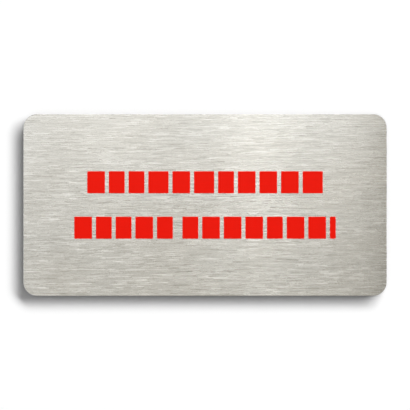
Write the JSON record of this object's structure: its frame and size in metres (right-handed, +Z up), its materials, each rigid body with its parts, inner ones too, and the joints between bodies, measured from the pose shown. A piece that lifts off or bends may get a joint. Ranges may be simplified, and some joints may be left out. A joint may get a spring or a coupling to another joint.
{
  "type": "no entry sign",
  "caption": "Flat rectangular plate of brushed steel with round corners and red print on its face, taped to a door or a wall to forbid entry.",
  "frame": {"origin": "middle of the wall plane, which is the outer face of the foam tape, behind the middle of the plate", "axes": "+X to the right as the sign is read, along its width; +Z up; +Y into the wall, so the face looks along -Y"},
  "size_m": [0.16, 0.0022, 0.08],
  "materials": {
    "plate_steel": "satin",
    "red_ink": "satin",
    "tape_foam": "matte"
  },
  "bodies": {
    "root": {"steel_plate": "plate_steel", "print_upper_line": "red_ink", "print_lower_line": "red_ink", "foam_tape_left": "tape_foam", "foam_tape_middle": "tape_foam", "foam_tape_right": "tape_foam"}
  },
  "joints": []
}
